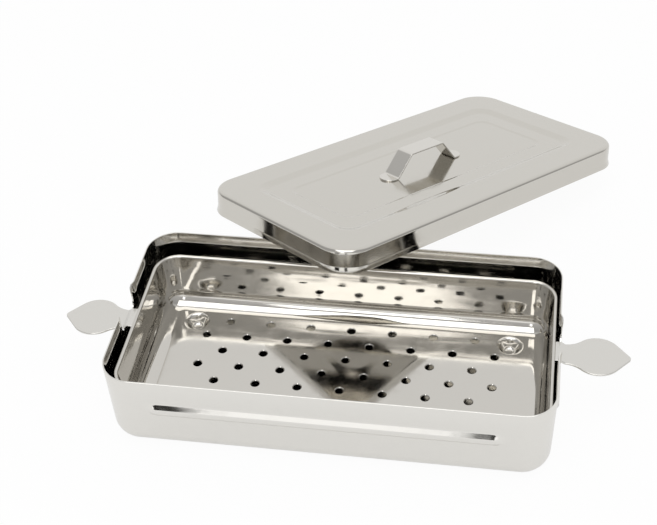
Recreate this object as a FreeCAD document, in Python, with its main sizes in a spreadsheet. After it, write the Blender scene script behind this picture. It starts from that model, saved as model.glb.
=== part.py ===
import FreeCAD, Part
import math
import os
from types import SimpleNamespace

import Sketcher

# Sterilization container of polished stainless sheet: a drawn pan, a perforated tray that stands in it on
# four pressed feet, two leaf handles that reach out through notches in the pan, and a lid with a strap
# handle. The lid is off: it leans on the pan's rear rim with its far corner on the table.
# Frame: origin at the centre of the pan's underside, X along the pan, Y to the rear, Z up, millimetres.

SIZES = {
    # pan, measured over the outside of its rim
    "pan_length": 254.0,
    "pan_width": 130.0,
    "pan_height": 54.0,
    "pan_corner": 18.0,
    "pan_draft": 1.7,
    "pan_bottom_radius": 12.0,
    "sheet_gauge": 0.8,
    # pressed rib along each pan wall
    "rib_height": 10.0,
    "rib_rise": 2.0,
    "rib_drop": 21.3,
    "rib_end_margin": 27.0,
    "rib_slope": 2.0,
    # notch in each end of the rim, where a tray handle passes
    "notch_width": 25.0,
    "notch_depth": 15.0,
    "notch_corner": 4.0,
    "notch_flare": 2.0,
    # tray: the gaps between its lip and the inside of the pan, and its own shape
    "tray_right_gap": 1.4,
    "tray_left_gap": 3.6,
    "tray_front_gap": 4.0,
    "tray_back_gap": 7.6,
    "tray_rim_drop": 10.9,
    "tray_seat_gap": 0.3,
    "tray_gauge": 0.7,
    "tray_corner": 15.0,
    "tray_draft": 3.0,
    "tray_bottom_radius": 11.0,
    "lip_width": 1.2,
    "foot_depth": 6.0,
    "foot_diameter": 8.0,
    "foot_draft": 28.0,
    "foot_chamfer": 0.8,
    "foot_end_inset": 26.0,
    "foot_side_inset": 21.8,
    # staggered round holes in the tray floor
    "hole_diameter": 5.0,
    "hole_pitch": 25.4,
    "hole_row_pitch": 12.7,
    "hole_end_margin": 18.0,
    "hole_side_margin": 3.0,
    # leaf handles of the tray, bent from strip
    "strip_gauge": 1.2,
    "strip_bend": 1.0,
    "strip_leg": 15.0,
    "neck_width": 15.4,
    "hook_reach": 3.4,
    "hook_run": 2.6,
    "hook_drop": 1.7,
    "leaf_length": 36.5,
    "leaf_width": 29.6,
    "leaf_belly": 18.2,
    "leaf_belly_radius": 14.0,
    "leaf_neck_radius": 15.0,
    "leaf_tip_radius": 2.9,
    # lid
    "lid_fit": 0.8,
    "skirt_depth": 15.0,
    "skirt_flare": 0.8,
    "skirt_flare_height": 3.6,
    "lid_edge_radius": 2.6,
    "panel_margin": 21.5,
    "panel_depth": 1.5,
    "panel_bevel": 5.0,
    "panel_corner": 12.0,
    "inner_panel_margin": 16.0,
    "inner_panel_depth": 0.5,
    "inner_panel_bevel": 1.5,
    "inner_panel_corner": 8.0,
    # strap handle of the lid
    "strap_gauge": 1.0,
    "strap_bend": 1.5,
    "strap_width": 13.0,
    "strap_rise": 15.0,
    "strap_top": 28.0,
    "strap_leg_run": 12.0,
    "strap_foot": 9.0,
    # how the lid leans on the pan
    "lid_turn": 50.8,
    "lid_shift": 30.8,
    "lid_behind_rim": 94.8,
    "lid_rest_gap": 0.3,
}

TOUCH = 1e-4
OVERCUT = 5.0
# a chamfer of this share of a radius passes as close to the radius's centre as the round edge would
CHAMFER_SHARE = 2 - math.sqrt(2)

doc = FreeCAD.newDocument("sterilization_container")
sheet = doc.addObject("Spreadsheet::Sheet", "sizes")
for row, (alias, number) in enumerate(SIZES.items(), start=1):
    sheet.set(f"A{row}", alias)
    sheet.set(f"B{row}", str(number))
    sheet.setAlias(f"B{row}", alias)
doc.recompute()


class Size:
    """A number together with the sheet formula that it comes from."""

    def __init__(self, value, formula):
        self.value = value
        self.formula = formula

    def joined(self, other, sign, value):
        return Size(value, f"({self.formula} {sign} {as_size(other).formula})")

    def __add__(self, other):
        return self.joined(other, "+", self.value + as_size(other).value)

    def __sub__(self, other):
        return self.joined(other, "-", self.value - as_size(other).value)

    def __mul__(self, other):
        return self.joined(other, "*", self.value * as_size(other).value)

    def __truediv__(self, other):
        return self.joined(other, "/", self.value / as_size(other).value)

    def __neg__(self):
        return Size(-self.value, f"(0 - {self.formula})")


def as_size(number):
    return number if isinstance(number, Size) else Size(float(number), f"{float(number):.6f}")


def tangent(angle):
    """Tangent of an angle in degrees."""
    return Size(math.tan(math.radians(angle.value)), f"tan({angle.formula} * 1 deg)")


def cosine(angle):
    """Cosine of an angle in degrees."""
    return Size(math.cos(math.radians(angle.value)), f"cos({angle.formula} * 1 deg)")


size = SimpleNamespace(**{alias: Size(float(sheet.get(alias)), f"sizes.{alias}") for alias in SIZES})
ZERO = as_size(0.0)


# Sketch helpers

def bound(sketch, value, *reference):
    """Dimension whose number follows the sheet."""
    index = sketch.addConstraint(Sketcher.Constraint(*reference, value.value))
    sketch.setExpression(f"Constraints[{index}]", value.formula)


def pin_point(sketch, geometry, end, x, y):
    """Fixes a point of the sketch at x, y from the sketch's origin."""
    for kind, value, axis in (("DistanceX", x, -2), ("DistanceY", y, -1)):
        if abs(value.value) < TOUCH:
            sketch.addConstraint(Sketcher.Constraint("PointOnObject", geometry, end, axis))
        elif value.value > 0:
            bound(sketch, value, kind, -1, 1, geometry, end)
        else:
            bound(sketch, -value, kind, geometry, end, -1, 1)


def end_near(sketch, geometry, point):
    """Which end of a line or an arc lies at the point: 1 for its start, 2 for its end."""
    first = sketch.getPoint(geometry, 1).distanceToPoint(point)
    second = sketch.getPoint(geometry, 2).distanceToPoint(point)
    return 1 if first <= second else 2


def joined_smoothly(sketch, first, second, point):
    ends = end_near(sketch, first, point), end_near(sketch, second, point)
    sketch.addConstraint(Sketcher.Constraint("Tangent", first, ends[0], second, ends[1]))


def new_sketch(body, name, plane="XY_Plane", height=None):
    """Sketch on a plane of the body's own origin, lifted along the plane's normal by height."""
    sketch = body.newObject("Sketcher::SketchObject", name)
    origin_plane = next(f for f in body.Origin.OriginFeatures if f.Role == plane)
    sketch.AttachmentSupport = [(origin_plane, "")]
    sketch.MapMode = "FlatFace"
    if height is not None:
        sketch.setExpression("AttachmentOffset.Base.z", height.formula)
    return sketch


def corner_arc(before, corner, after, radius):
    """Where a rounded corner starts and ends, and the middle of its arc."""
    arriving = (corner - before).normalize()
    leaving = (after - corner).normalize()
    half_turn = arriving.getAngle(leaving) / 2
    start = corner - arriving * radius * math.tan(half_turn)
    end = corner + leaving * radius * math.tan(half_turn)
    inward = (leaving - arriving).normalize()
    middle = corner + inward * radius * (1 / math.cos(half_turn) - 1)
    return start, middle, end


def outline(sketch, corners):
    """Closed outline of straight runs through corners (x, y, radius); a radius of None stays sharp."""
    points = [FreeCAD.Vector(x.value, y.value, 0) for x, y, radius in corners]
    count = len(corners)
    starts, ends, arcs = [], [], []
    for i, (x, y, radius) in enumerate(corners):
        if radius is None:
            starts.append(points[i])
            ends.append(points[i])
            arcs.append(None)
            continue
        start, middle, end = corner_arc(points[i - 1], points[i], points[(i + 1) % count], radius.value)
        starts.append(end)
        ends.append(start)
        arcs.append(sketch.addGeometry(Part.Arc(start, middle, end), False))
    runs = []
    for i in range(count):
        line = Part.LineSegment(starts[i], ends[(i + 1) % count])
        runs.append(sketch.addGeometry(line, False))
    for i, (x, y, radius) in enumerate(corners):
        if radius is None:
            sketch.addConstraint(Sketcher.Constraint("Coincident", runs[i - 1], 2, runs[i], 1))
            pin_point(sketch, runs[i], 1, x, y)
            continue
        corner = sketch.addGeometry(Part.Point(points[i]), True)
        pin_point(sketch, corner, 1, x, y)
        for run in (runs[i - 1], runs[i]):
            sketch.addConstraint(Sketcher.Constraint("PointOnObject", corner, 1, run))
        joined_smoothly(sketch, runs[i - 1], arcs[i], ends[i])
        joined_smoothly(sketch, arcs[i], runs[i], starts[i])
        bound(sketch, radius, "Radius", arcs[i])


def rectangle(sketch, length, width, radius=None):
    """Rectangle centred on the sketch's origin, with equal corners."""
    half_x, half_y = length / 2, width / 2
    outline(sketch, [(half_x, half_y, radius), (-half_x, half_y, radius),
                     (-half_x, -half_y, radius), (half_x, -half_y, radius)])


def slot(sketch, length, width, height):
    """Slot with round ends, level with the sketch's X axis and centred at the given height."""
    radius = width / 2
    reach = length / 2 - radius
    arcs, runs = [], []
    for side in (1, -1):
        centre = FreeCAD.Vector(side * reach.value, height.value, 0)
        circle = Part.Circle(centre, FreeCAD.Vector(0, 0, 1), radius.value)
        begin = -math.pi / 2 if side > 0 else math.pi / 2
        arcs.append(sketch.addGeometry(Part.ArcOfCircle(circle, begin, begin + math.pi), False))
        pin_point(sketch, arcs[-1], 3, reach * side, height)
    for side in (1, -1):
        level = height.value + side * radius.value
        right = FreeCAD.Vector(reach.value, level, 0)
        left = FreeCAD.Vector(-reach.value, level, 0)
        runs.append(sketch.addGeometry(Part.LineSegment(right, left), False))
        joined_smoothly(sketch, arcs[0], runs[-1], right)
        joined_smoothly(sketch, arcs[1], runs[-1], left)
    sketch.addConstraint(Sketcher.Constraint("Horizontal", runs[0]))
    bound(sketch, radius, "Radius", arcs[0])


def circle(sketch, x, y, diameter):
    centre = FreeCAD.Vector(x.value, y.value, 0)
    ring = Part.Circle(centre, FreeCAD.Vector(0, 0, 1), diameter.value / 2)
    index = sketch.addGeometry(ring, False)
    pin_point(sketch, index, 3, x, y)
    bound(sketch, diameter, "Diameter", index)


def bent_strip(sketch, corners, gauge, bend, side):
    """Section of a bent strip: one face runs through the corners and the other lies a gauge away,
    to the left of the path for side 1 and to the right for side -1."""
    points = [FreeCAD.Vector(x.value, y.value, 0) for x, y in corners]
    headings = [(b - a).normalize() for a, b in zip(points, points[1:])]
    offset = [FreeCAD.Vector(-d.y, d.x, 0) * side * gauge.value for d in headings]
    far_points = [points[0] + offset[0]]
    for i in range(1, len(points) - 1):
        across = (offset[i - 1] + offset[i]).normalize()
        far_points.append(points[i] + across * gauge.value / across.dot(offset[i]) * gauge.value)
    far_points.append(points[-1] + offset[-1])
    face_runs = []
    for line_points, is_far in ((points, False), (far_points, True)):
        joints = [(p, None, p) for p in line_points]
        bends = [None] * len(line_points)
        for i in range(1, len(line_points) - 1):
            left_turn = headings[i - 1].cross(headings[i]).z > 0
            outer = left_turn == ((side < 0) == is_far)
            radius = bend + gauge if outer else bend
            joints[i] = corner_arc(line_points[i - 1], line_points[i], line_points[i + 1], radius.value)
            bends[i] = sketch.addGeometry(Part.Arc(*joints[i]), False)
            bound(sketch, radius, "Radius", bends[i])
        runs = [sketch.addGeometry(Part.LineSegment(joints[i][2], joints[i + 1][0]), False)
                for i in range(len(line_points) - 1)]
        for i in range(1, len(line_points) - 1):
            joined_smoothly(sketch, runs[i - 1], bends[i], joints[i][0])
            joined_smoothly(sketch, bends[i], runs[i], joints[i][2])
        face_runs.append(runs)
    near, far = face_runs
    pin_point(sketch, near[0], 1, *corners[0])
    pin_point(sketch, near[-1], 2, *corners[-1])
    for i in range(1, len(points) - 1):
        corner = sketch.addGeometry(Part.Point(points[i]), True)
        pin_point(sketch, corner, 1, *corners[i])
        for run in (near[i - 1], near[i]):
            sketch.addConstraint(Sketcher.Constraint("PointOnObject", corner, 1, run))
    for near_run, far_run in zip(near, far):
        sketch.addConstraint(Sketcher.Constraint("Parallel", near_run, far_run))
        bound(sketch, gauge, "Distance", far_run, 1, near_run)
    for run, end, start_point, end_point in ((0, 1, points[0], far_points[0]),
                                             (-1, 2, points[-1], far_points[-1])):
        cap = sketch.addGeometry(Part.LineSegment(start_point, end_point), False)
        sketch.addConstraint(Sketcher.Constraint("Coincident", near[run], end, cap, 1))
        sketch.addConstraint(Sketcher.Constraint("Coincident", far[run], end, cap, 2))
        sketch.addConstraint(Sketcher.Constraint("Perpendicular", near[run], cap))


# Feature helpers

def new_body(label):
    body = doc.addObject("PartDesign::Body", label)
    body.Label = label
    return body


def loft(body, name, sketches, cut=False):
    kind = "PartDesign::SubtractiveLoft" if cut else "PartDesign::AdditiveLoft"
    feature = body.newObject(kind, name)
    feature.Profile = sketches[0]
    feature.Sections = sketches[1:]
    feature.Ruled = True
    doc.recompute()
    return feature


def pad(body, name, sketch, length, midplane=False, downward=False, draft=None):
    """Pad along the sketch's normal; a draft in degrees makes it narrower away from the sketch."""
    feature = body.newObject("PartDesign::Pad", name)
    feature.Profile = sketch
    feature.setExpression("Length", length.formula)
    feature.Midplane = midplane
    feature.Reversed = downward
    if draft is not None:
        feature.setExpression("TaperAngle", (-draft).formula)
    doc.recompute()
    return feature


def pocket(body, name, sketch, length, midplane=False, draft=None):
    """Cut below the sketch; a draft in degrees makes it narrower away from the sketch."""
    feature = body.newObject("PartDesign::Pocket", name)
    feature.Profile = sketch
    feature.setExpression("Length", length.formula)
    feature.Midplane = midplane
    if draft is not None:
        feature.setExpression("TaperAngle", (-draft).formula)
    doc.recompute()
    return feature


def fillet(body, name, edges, radius):
    base = body.Tip
    feature = body.newObject("PartDesign::Fillet", name)
    feature.Base = (base, edges)
    feature.setExpression("Radius", radius.formula)
    doc.recompute()
    return feature


def chamfer(body, name, edges, setback):
    base = body.Tip
    feature = body.newObject("PartDesign::Chamfer", name)
    feature.Base = (base, edges)
    feature.setExpression("Size", setback.formula)
    doc.recompute()
    return feature


def mirrored(body, name, features, plane):
    feature = body.newObject("PartDesign::Mirrored", name)
    feature.Originals = features
    feature.MirrorPlane = (next(f for f in body.Origin.OriginFeatures if f.Role == plane), [""])
    body.Tip = feature
    doc.recompute()
    return feature


def level_edges(shape, height, inside=None):
    """Names of the edges that lie at one height, and within half sizes inside of the Z axis if given."""
    names = []
    for number, edge in enumerate(shape.Edges, start=1):
        box = edge.BoundBox
        level = abs(box.ZMin - height) < TOUCH and abs(box.ZMax - height) < TOUCH
        reach = max(abs(box.XMin), abs(box.XMax)), max(abs(box.YMin), abs(box.YMax))
        within = inside is None or (reach[0] < inside[0] + TOUCH and reach[1] < inside[1] + TOUCH)
        if level and within:
            names.append(f"Edge{number}")
    return names


def rim_sketch(body, name, length, width, corner, height):
    ring = new_sketch(body, name, height=height)
    rectangle(ring, length, width, corner)
    return ring


# Pan

pan_inner_length = size.pan_length - size.sheet_gauge * 2
pan_inner_width = size.pan_width - size.sheet_gauge * 2


def rib_block(body, name, run, wall, plane, reach_in, inset, cut):
    """One pressed rib as a tapered slot that swells out of a wall; inset shrinks it to the sheet's inside."""
    centre_height = size.pan_height - size.rib_drop
    rings = []
    for word, rise, shrink in (("root", -reach_in, -reach_in), ("face", size.rib_rise - inset, size.rib_rise)):
        ring = new_sketch(body, f"{name}_{word}", plane, wall + rise)
        slope = size.rib_slope / size.rib_rise * shrink
        slot(ring, run - slope * 2 - inset, size.rib_height - slope * 2 - inset, centre_height)
        rings.append(ring)
    return loft(body, name, rings, cut)


def make_pan():
    body = new_body("outer_pan")
    rim = rim_sketch(body, "pan_rim", size.pan_length, size.pan_width, size.pan_corner, size.pan_height)
    pad(body, "pan_block", rim, size.pan_height, downward=True, draft=size.pan_draft)

    root_depth = size.rib_rise / 2
    long_rib = size.pan_length - size.rib_end_margin * 2
    end_rib = size.pan_width - size.rib_end_margin * 2
    lean_at_rib = tangent(size.pan_draft) * size.rib_drop
    walls = (("long", long_rib, size.pan_width / 2 - lean_at_rib, "XZ_Plane"),
             ("end", end_rib, size.pan_length / 2 - lean_at_rib, "YZ_Plane"))
    for word, run, wall, plane in walls:
        rib = rib_block(body, f"{word}_rib", run, wall, plane, root_depth, ZERO, cut=False)
        mirrored(body, f"{word}_rib_opposite", [rib], plane)

    inner_rim = rim_sketch(body, "pan_inner_rim", pan_inner_length, pan_inner_width,
                           size.pan_corner - size.sheet_gauge, size.pan_height)
    pocket(body, "pan_cavity", inner_rim, size.pan_height - size.sheet_gauge, draft=size.pan_draft)
    inside_reach = (pan_inner_length.value / 2, pan_inner_width.value / 2)
    cavity_edges = level_edges(body.Tip.Shape, size.sheet_gauge.value, inside_reach)
    fillet(body, "pan_cavity_edge", cavity_edges, size.pan_bottom_radius - size.sheet_gauge)
    fillet(body, "pan_bottom_edge", level_edges(body.Tip.Shape, 0.0), size.pan_bottom_radius)
    for word, run, wall, plane in walls:
        groove = rib_block(body, f"{word}_rib_hollow", run, wall, plane, root_depth + size.sheet_gauge,
                           size.sheet_gauge, cut=True)
        mirrored(body, f"{word}_rib_hollow_opposite", [groove], plane)

    notch = new_sketch(body, "notch_shape", "YZ_Plane")
    half_top = size.notch_width / 2 + size.notch_flare
    floor = size.pan_height - size.notch_depth
    above = size.pan_height + OVERCUT
    half = size.notch_width / 2
    outline(notch, [(half_top, above, None), (-half_top, above, None),
                    (-half_top, size.pan_height, None), (-half, size.pan_height - size.notch_flare, None),
                    (-half, floor, size.notch_corner), (half, floor, size.notch_corner),
                    (half, size.pan_height - size.notch_flare, None), (half_top, size.pan_height, None)])
    pocket(body, "rim_notches", notch, size.pan_length + OVERCUT, midplane=True)
    return body


# Tray

lean_at_tray_rim = tangent(size.pan_draft) * size.tray_rim_drop
tray_length = pan_inner_length - lean_at_tray_rim * 2 - size.tray_left_gap - size.tray_right_gap
tray_width = pan_inner_width - lean_at_tray_rim * 2 - size.tray_front_gap - size.tray_back_gap
tray_bottom = size.sheet_gauge + size.tray_seat_gap
tray_height = size.pan_height - size.tray_rim_drop - tray_bottom
tray_offset = FreeCAD.Vector((size.tray_left_gap.value - size.tray_right_gap.value) / 2,
                             (size.tray_front_gap.value - size.tray_back_gap.value) / 2,
                             tray_bottom.value)
wall_length = tray_length - size.lip_width * 2
wall_width = tray_width - size.lip_width * 2
wall_corner = size.tray_corner - size.lip_width


def foot_circles(body, name, height, inset):
    """Sketch of the four round feet at a height above their undersides; inset is the sheet that it leaves."""
    foot_x = tray_length / 2 - size.foot_end_inset
    foot_y = tray_width / 2 - size.foot_side_inset
    diameter = size.foot_diameter + tangent(size.foot_draft) * height * 2 - inset * 2
    ring = new_sketch(body, name, height=height)
    for side_x, side_y in ((1, 1), (-1, 1), (-1, -1), (1, -1)):
        circle(ring, foot_x * side_x, foot_y * side_y, diameter)
    return ring


def hole_grid(body, name, columns, rows):
    """Round holes on a square grid centred on the tray, cut through its floor."""
    first = new_sketch(body, f"{name}_first", height=size.foot_depth + size.tray_gauge + OVERCUT)
    circle(first, -size.hole_pitch * (columns - 1) / 2, -size.hole_row_pitch * (rows - 1), size.hole_diameter)
    hole = pocket(body, f"{name}_hole", first, size.tray_gauge + OVERCUT * 2)
    axes = {f.Role: f for f in body.Origin.OriginFeatures}
    steps = []
    for word, axis, pitch, copies in (("along", "X_Axis", size.hole_pitch, columns),
                                      ("across", "Y_Axis", size.hole_row_pitch * 2, rows)):
        step = body.newObject("PartDesign::LinearPattern", f"{name}_{word}")
        step.Direction = (axes[axis], [""])
        step.setExpression("Length", (pitch * (copies - 1)).formula)
        step.Occurrences = copies
        steps.append(step)
    grid = body.newObject("PartDesign::MultiTransform", f"{name}_grid")
    grid.Originals = [hole]
    grid.Transformations = steps
    body.Tip = grid
    doc.recompute()


def make_tray():
    body = new_body("perforated_tray")
    floor_low = size.foot_depth
    rim = rim_sketch(body, "tray_rim", wall_length, wall_width, wall_corner, tray_height)
    pad(body, "tray_block", rim, tray_height - floor_low, downward=True, draft=size.tray_draft)
    lip = new_sketch(body, "lip_shape", height=tray_height - size.tray_gauge)
    rectangle(lip, tray_length, tray_width, size.tray_corner)
    pad(body, "lip", lip, size.tray_gauge)
    floor_top = floor_low + size.tray_gauge
    inner_rim = rim_sketch(body, "tray_inner_rim", wall_length - size.tray_gauge * 2,
                           wall_width - size.tray_gauge * 2, wall_corner - size.tray_gauge, tray_height)
    pocket(body, "tray_cavity", inner_rim, tray_height - floor_top, draft=size.tray_draft)
    fillet(body, "tray_cavity_edge", level_edges(body.Tip.Shape, floor_top.value),
           size.tray_bottom_radius - size.tray_gauge)
    fillet(body, "tray_bottom_edge", level_edges(body.Tip.Shape, floor_low.value), size.tray_bottom_radius)

    overlap = size.tray_gauge / 2
    foot_tops = foot_circles(body, "foot_tops", floor_low + overlap, ZERO)
    pad(body, "feet", foot_tops, floor_low + overlap, downward=True, draft=size.foot_draft)
    chamfer(body, "feet_edges", level_edges(body.Tip.Shape, 0.0), size.foot_chamfer)
    hollow_tops = foot_circles(body, "foot_hollow_tops", floor_top + overlap,
                               size.tray_gauge / cosine(size.foot_draft))
    pocket(body, "foot_hollows", hollow_tops, floor_low + overlap, draft=size.foot_draft)

    wall_lean = tangent(size.tray_draft) * (tray_height - floor_top)
    inset = size.lip_width + size.tray_gauge + wall_lean + size.tray_bottom_radius
    flat_length = (tray_length - inset * 2 - size.hole_end_margin * 2).value
    flat_width = (tray_width - inset * 2 - size.hole_side_margin * 2).value
    long_row = int(flat_length // size.hole_pitch.value) + 1
    half_rows = int(flat_width / 2 // size.hole_row_pitch.value)
    even_rows = half_rows // 2 * 2 + 1
    odd_rows = (half_rows + 1) // 2 * 2
    hole_grid(body, "long_rows", long_row, even_rows)
    hole_grid(body, "short_rows", long_row - 1, odd_rows)
    body.Placement = FreeCAD.Placement(tray_offset, FreeCAD.Rotation())
    return body


# Leaf handles

def leaf_outline(sketch, start, neck_end):
    """Plan of a leaf handle: a straight neck, a hollow shoulder, a round belly, and sides that close
    on a small round tip."""
    half_neck = size.neck_width / 2
    belly_x = neck_end + size.leaf_belly
    belly_rise = size.leaf_width / 2 - size.leaf_belly_radius
    tip_x = neck_end + size.leaf_length - size.leaf_tip_radius
    belly_radius, neck_radius = size.leaf_belly_radius.value, size.leaf_neck_radius.value
    tip_radius = size.leaf_tip_radius.value
    up = FreeCAD.Vector(0, 0, 1)
    tip_centre = FreeCAD.Vector(tip_x.value, 0, 0)
    sides = []
    for side in (1, -1):
        belly_centre = FreeCAD.Vector(belly_x.value, side * belly_rise.value, 0)
        shoulder_rise = half_neck.value + neck_radius
        drop = shoulder_rise - belly_rise.value
        run = math.sqrt((neck_radius + belly_radius) ** 2 - drop ** 2)
        shoulder_centre = FreeCAD.Vector(belly_x.value - run, side * shoulder_rise, 0)
        neck_point = FreeCAD.Vector(shoulder_centre.x, side * half_neck.value, 0)
        toward = (belly_centre - shoulder_centre).normalize()
        shoulder_point = shoulder_centre + toward * neck_radius
        span = tip_centre - belly_centre
        lean = math.acos((belly_radius - tip_radius) / span.Length)
        normal = FreeCAD.Rotation(up, math.degrees(side * lean)).multVec(span.normalize())
        belly_point = belly_centre + normal * belly_radius
        tip_point = tip_centre + normal * tip_radius
        shoulder_mid = shoulder_centre + (neck_point - shoulder_centre + shoulder_point
                                          - shoulder_centre).normalize() * neck_radius
        belly_mid = belly_centre + (shoulder_point - belly_centre + belly_point
                                    - belly_centre).normalize() * belly_radius
        start_point = FreeCAD.Vector(start.value, side * half_neck.value, 0)
        neck = sketch.addGeometry(Part.LineSegment(start_point, neck_point), False)
        shoulder = sketch.addGeometry(Part.Arc(neck_point, shoulder_mid, shoulder_point), False)
        belly = sketch.addGeometry(Part.Arc(shoulder_point, belly_mid, belly_point), False)
        flank = sketch.addGeometry(Part.LineSegment(belly_point, tip_point), False)
        sketch.addConstraint(Sketcher.Constraint("Horizontal", neck))
        pin_point(sketch, neck, 1, start, half_neck * side)
        joined_smoothly(sketch, neck, shoulder, neck_point)
        joined_smoothly(sketch, shoulder, belly, shoulder_point)
        joined_smoothly(sketch, belly, flank, belly_point)
        bound(sketch, size.leaf_neck_radius, "Radius", shoulder)
        bound(sketch, size.leaf_belly_radius, "Radius", belly)
        pin_point(sketch, belly, 3, belly_x, belly_rise * side)
        sides.append((neck, flank, tip_point))
    tip_end = FreeCAD.Vector(tip_x.value + tip_radius, 0, 0)
    tip = sketch.addGeometry(Part.Arc(sides[1][2], tip_end, sides[0][2]), False)
    pin_point(sketch, tip, 3, tip_x, ZERO)
    bound(sketch, size.leaf_tip_radius, "Radius", tip)
    for neck, flank, tip_point in sides:
        joined_smoothly(sketch, flank, tip, tip_point)
    start_points = [FreeCAD.Vector(start.value, side * half_neck.value, 0) for side in (1, -1)]
    closing = sketch.addGeometry(Part.LineSegment(*start_points), False)
    sketch.addConstraint(Sketcher.Constraint("Coincident", closing, 1, sides[0][0], 1))
    sketch.addConstraint(Sketcher.Constraint("Coincident", closing, 2, sides[1][0], 1))


def make_tray_handle(label, turn):
    """Leaf handle spot-welded outside the tray's end wall, right under the lip."""
    body = new_body(label)
    strip_top = tray_height - size.tray_gauge
    wall_top = wall_length / 2
    leg_lean = tangent(size.tray_draft) * size.strip_leg
    hook_x = tray_length / 2 + size.hook_reach
    leaf_x = hook_x + size.hook_run
    section = new_sketch(body, f"{label}_section", "XZ_Plane")
    bent_strip(section, [(wall_top - leg_lean, strip_top - size.strip_leg),
                         (wall_top, strip_top),
                         (hook_x, strip_top),
                         (leaf_x, strip_top - size.hook_drop),
                         (leaf_x + size.leaf_length, strip_top - size.hook_drop)],
               size.strip_gauge, size.strip_bend, side=-1)
    pad(body, f"{label}_strip", section, size.leaf_width, midplane=True)

    plan = new_sketch(body, f"{label}_plan", height=tray_height + OVERCUT)
    start = wall_top - OVERCUT
    clear = size.leaf_width / 2 + OVERCUT
    end = leaf_x + size.leaf_length + OVERCUT
    outline(plan, [(start - OVERCUT, clear, None), (start - OVERCUT, -clear, None),
                   (end, -clear, None), (end, clear, None)])
    leaf_outline(plan, start, leaf_x)
    pocket(body, f"{label}_trim", plan, tray_height + OVERCUT * 2)
    body.Placement = FreeCAD.Placement(tray_offset, FreeCAD.Rotation(FreeCAD.Vector(0, 0, 1), turn))
    return body


# Lid

lid_length = size.pan_length + (size.lid_fit + size.sheet_gauge) * 2
lid_width = size.pan_width + (size.lid_fit + size.sheet_gauge) * 2
lid_corner = size.pan_corner + size.lid_fit + size.sheet_gauge
panel_level = size.skirt_depth - size.panel_depth - size.inner_panel_depth


def panel_rings(body, name, margin, corner, bevel, top, depth):
    """The two edges of a pressed panel: its upper edge, and its floor smaller by the bevel."""
    rings = []
    for word, inset, height in (("edge", ZERO, top), ("floor", bevel, top - depth)):
        ring = new_sketch(body, f"{name}_{word}", height=height)
        rectangle(ring, lid_length - (margin + inset) * 2, lid_width - (margin + inset) * 2, corner - inset / 2)
        rings.append(ring)
    return rings


def make_lid():
    """Lid in its own frame: skirt's lower edge on Z = 0, centred on the Z axis."""
    body = new_body("lid_cover")
    gauge = size.sheet_gauge
    top = size.skirt_depth
    block = new_sketch(body, "lid_block_shape")
    rectangle(block, lid_length, lid_width, lid_corner)
    pad(body, "lid_block", block, top)
    fillet(body, "lid_top_edge", level_edges(body.Tip.Shape, top.value), size.lid_edge_radius)
    flare = []
    for word, grow, height in (("low", size.skirt_flare, ZERO), ("high", ZERO, size.skirt_flare_height)):
        ring = new_sketch(body, f"flare_{word}", height=height)
        rectangle(ring, lid_length + grow * 2, lid_width + grow * 2, lid_corner + grow)
        flare.append(ring)
    loft(body, "skirt_flare_outside", flare)

    hollow = new_sketch(body, "lid_hollow_shape", height=top - gauge)
    rectangle(hollow, lid_length - gauge * 2, lid_width - gauge * 2, lid_corner - gauge)
    pocket(body, "lid_hollow", hollow, top)
    flare_hollow = []
    for word, grow, height in (("low", size.skirt_flare, ZERO), ("high", ZERO, size.skirt_flare_height)):
        ring = new_sketch(body, f"flare_hollow_{word}", height=height)
        inset = gauge - grow
        rectangle(ring, lid_length - inset * 2, lid_width - inset * 2, lid_corner - inset)
        flare_hollow.append(ring)
    loft(body, "skirt_flare_inside", flare_hollow, cut=True)
    under_edge = (lid_length.value / 2 - gauge.value, lid_width.value / 2 - gauge.value)
    chamfer(body, "lid_under_edge", level_edges(body.Tip.Shape, (top - gauge).value, under_edge),
            (size.lid_edge_radius - gauge) * CHAMFER_SHARE)

    inner_top = top - size.panel_depth
    inner_margin = size.panel_margin + size.inner_panel_margin
    loft(body, "panel_underside", panel_rings(body, "panel_under", size.panel_margin, size.panel_corner,
                                              size.panel_bevel, top - gauge, size.panel_depth))
    loft(body, "inner_panel_underside", panel_rings(body, "inner_under", inner_margin,
                                                    size.inner_panel_corner, size.inner_panel_bevel,
                                                    inner_top - gauge, size.inner_panel_depth))
    loft(body, "panel", panel_rings(body, "panel_top", size.panel_margin, size.panel_corner,
                                    size.panel_bevel, top, size.panel_depth), cut=True)
    loft(body, "inner_panel", panel_rings(body, "inner_top", inner_margin, size.inner_panel_corner,
                                          size.inner_panel_bevel, inner_top, size.inner_panel_depth),
         cut=True)
    return body


def make_lid_handle():
    """Strap bent into a low bridge with round feet, spot-welded along the middle of the lid."""
    body = new_body("lid_handle")
    half_top = size.strap_top / 2
    half_span = half_top + size.strap_leg_run
    half_length = half_span + size.strap_foot
    rise = size.strap_rise - size.strap_gauge
    section = new_sketch(body, "strap_section", "XZ_Plane")
    seat = panel_level
    bent_strip(section, [(-half_length, seat), (-half_span, seat), (-half_top, seat + rise),
                         (half_top, seat + rise), (half_span, seat), (half_length, seat)],
               size.strap_gauge, size.strap_bend, side=1)
    pad(body, "strap", section, size.strap_width + OVERCUT, midplane=True)
    plan = new_sketch(body, "strap_plan", height=seat + size.strap_rise + OVERCUT)
    rectangle(plan, half_length * 2 + OVERCUT * 2, size.strap_width + OVERCUT * 4)
    slot(plan, half_length * 2, size.strap_width, ZERO)
    pocket(body, "strap_trim", plan, seat + size.strap_rise + OVERCUT * 2)
    return body


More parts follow.
